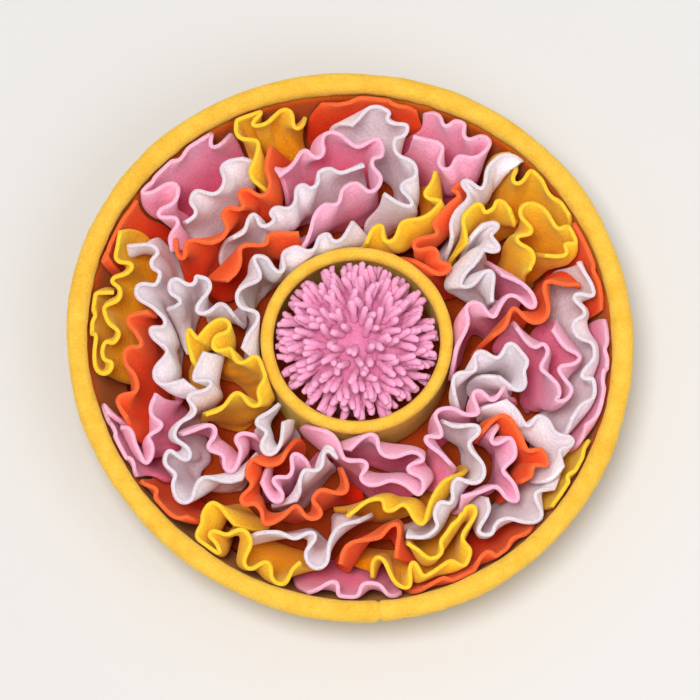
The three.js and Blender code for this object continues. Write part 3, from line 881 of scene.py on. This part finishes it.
def wall_pad(finish):
    """The padded wall that slopes out from the base to the rim."""
    top = BOWL_HEIGHT - RIM_DEPTH - SEW_GAP
    foot = BASE_RADIUS - WALL_INSET
    out = BOWL_RADIUS - RIM_WIDTH / 2
    outer = []
    for share in np.linspace(0, 1, 12):
        reach = foot + (out - foot) * share + WALL_SWELL * math.sin(math.pi * share)
        outer.append((reach, SEAT + (top - SEAT) * share))
    inner = [(reach - WALL_THICKNESS, height) for reach, height in outer][::-1]
    section = np.array(outer + inner)
    # Painted shade: the inner side of the wall takes the dark shade colour of the shell fleece
    wall = sewn_ring("wall_pad", section, finish, rumple=0.8, pucker=0.3, inside=len(inner))
    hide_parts("side_wall")


def cup_roll(finish):
    """The ring wall of the cup with its rolled top."""
    under = COLLAR_HEIGHT - CUP_ROLL_DEPTH
    middle = COLLAR_RADIUS - COLLAR_ROLL / 2
    roll = soft_oval(middle, under, COLLAR_ROLL, CUP_ROLL_DEPTH, corners=20)
    roll = np.roll(roll, -int(np.argmin(roll[:, 1])), axis=0)
    rise = under + CUP_TUCK - SEAT
    shares = np.linspace(0, 1, 8)
    outer = [(COLLAR_RADIUS - CUP_WAIST, SEAT + rise * share) for share in shares]
    inner = [(COLLAR_RADIUS - COLLAR_ROLL + CUP_WAIST, SEAT + rise * (1 - share)) for share in shares]
    section = np.array(outer + roll[2:-1].tolist() + inner)
    cup = sewn_ring("cup_roll", section, finish, COLLAR_CENTRE, 260, rumple=0.4, pucker=0.2, hand=False)
    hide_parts("collar")


# In the fleeces below, face, worn and sheen are the cloth's own colours; the deeper colour is painted
# shade down in the folds and gaps; on the ruffles the cut colour is painted shade on the upturned cut
# edges, set close to or below the face to offset the light they catch
YELLOW = fleece(
    "yellow fleece",
    face=colour(250, 200, 48),
    cut=colour(247, 196, 52),
    worn=colour(246, 186, 36),
    painted_shade=colour(244, 148, 8),
    sheen=colour(255, 226, 140),
)
# Painted shade: the shell fleece is the yellow fleece with a dark orange-brown shade painted on the top
# of the base and the inner side of the wall
SHELL = fleece(
    "yellow shell fleece",
    face=colour(250, 200, 48),
    cut=colour(247, 196, 52),
    worn=colour(246, 186, 36),
    painted_shade=colour(178, 66, 16),
    sheen=colour(255, 226, 140),
)
BINDING = fleece(
    "yellow binding fleece",
    face=colour(236, 190, 72),
    cut=colour(250, 212, 96),
    worn=colour(229, 176, 56),
    painted_shade=colour(240, 160, 30),
    sheen=colour(255, 232, 160),
)
ORANGE = fleece(
    "orange fleece",
    face=colour(246, 96, 42),
    cut=colour(244, 104, 54),
    worn=colour(240, 78, 30),
    painted_shade=colour(230, 44, 10),
    sheen=colour(255, 170, 120),
)
PINK = fleece(
    "pink fleece",
    face=colour(250, 184, 208),
    cut=colour(240, 176, 200),
    worn=colour(246, 162, 192),
    painted_shade=colour(236, 94, 132),
    sheen=colour(255, 222, 234),
)
WHITE = fleece(
    "white fleece",
    face=colour(246, 236, 241),
    cut=colour(216, 204, 212),
    worn=colour(240, 226, 233),
    painted_shade=colour(238, 214, 219),
    sheen=colour(255, 248, 250),
)
# Painted shade: the chenille's face colour is a darker pink painted at the noodles' roots and on the
# dome, where shade falls between the noodles; its cut colour is the pale pink of the noodles themselves
CHENILLE = fleece(
    "pink chenille",
    face=colour(206, 106, 150),
    cut=colour(240, 166, 202),
    worn=colour(190, 78, 122),
    painted_shade=colour(200, 80, 130),
    sheen=colour(255, 210, 230),
    glow=0,
)
CLOTHS = {"yellow": YELLOW, "orange": ORANGE, "pink": PINK, "white": WHITE}

strips = [fold_strip(bends, index) for index, (cloth, bends) in enumerate(RUFFLES)]
edges = settle_strips(strips)
grids = hang_cloth(strips, edges)
for index, (cloth, bends) in enumerate(RUFFLES):
    name = f"ruffle_{index + 1:02d}_{cloth}_cloth"
    ruffle(name, grids[index], CLOTHS[cloth])

rim_roll(BINDING)
wall_pad(SHELL)
cup_roll(BINDING)
base_pad(SHELL)
noodle_ball(CHENILLE)


# Floor, lights and camera, with lengths in metres, angles in degrees and the lens in millimetres
FLOOR_SIZE = 24
FLOOR_DROP = 0.0005
FLOOR_COLOUR = (0.6, 0.59, 0.58, 1)
SKY_COLOUR = (1, 0.985, 0.96, 1)
SKY_STRENGTH = 0.48
KEY_STRENGTH = 2.5
KEY_SOFTNESS = 20
KEY_PLACE = (-0.16, -0.16, 1.4)
FILL_WATTS = 5
FILL_SIZE = 0.8
FILL_PLACE = (0.45, -0.55, 1.25)
LIGHT_AIM = (0, 0, 0.05)
CAMERA_LENS = 400
CAMERA_SENSOR = 36
CAMERA_AIM = (-0.0007, -0.0047, 0.065)
CAMERA_TILT = 75.2
CAMERA_DISTANCE = 4.8


def floor_and_light():
    """A plain pale floor, a broad soft light from above and a weaker one beside it."""
    bpy.ops.object.select_all(action="DESELECT")
    bpy.ops.mesh.primitive_plane_add(size=FLOOR_SIZE, location=(0, 0, -FLOOR_DROP))
    floor = bpy.context.object
    floor.name = "floor"
    pale = bpy.data.materials.new("pale floor")
    pale.use_nodes = True
    shader = pale.node_tree.nodes["Principled BSDF"]
    shader.inputs["Base Color"].default_value = FLOOR_COLOUR
    shader.inputs["Roughness"].default_value = 0.8
    floor.data.materials.append(pale)
    world = bpy.data.worlds.new("studio")
    world.use_nodes = True
    sky = world.node_tree.nodes["Background"]
    sky.inputs["Color"].default_value = SKY_COLOUR
    sky.inputs["Strength"].default_value = SKY_STRENGTH
    bpy.context.scene.world = world
    key = bpy.data.lights.new("key", "SUN")
    key.energy = KEY_STRENGTH
    key.angle = math.radians(KEY_SOFTNESS)
    fill = bpy.data.lights.new("fill", "AREA")
    fill.energy = FILL_WATTS
    fill.size = FILL_SIZE
    for light, place in ((key, KEY_PLACE), (fill, FILL_PLACE)):
        lamp = bpy.data.objects.new(light.name, light)
        lamp.location = place
        heading = Vector(LIGHT_AIM) - Vector(place)
        lamp.rotation_euler = heading.to_track_quat("-Z", "Y").to_euler()
        bpy.context.scene.collection.objects.link(lamp)


def photo_camera():
    """The camera above the bowl, tipped a little from the front."""
    lens = bpy.data.cameras.new("camera")
    lens.lens = CAMERA_LENS
    lens.sensor_width = CAMERA_SENSOR
    camera = bpy.data.objects.new("camera", lens)
    aim = Vector(CAMERA_AIM)
    tilt = math.radians(CAMERA_TILT)
    camera.location = aim + Vector((0, -math.cos(tilt), math.sin(tilt))) * CAMERA_DISTANCE
    camera.rotation_euler = (aim - camera.location).to_track_quat("-Z", "Y").to_euler()
    bpy.context.scene.collection.objects.link(camera)
    bpy.context.scene.camera = camera


floor_and_light()
photo_camera()
bpy.context.scene.view_settings.view_transform = "Standard"
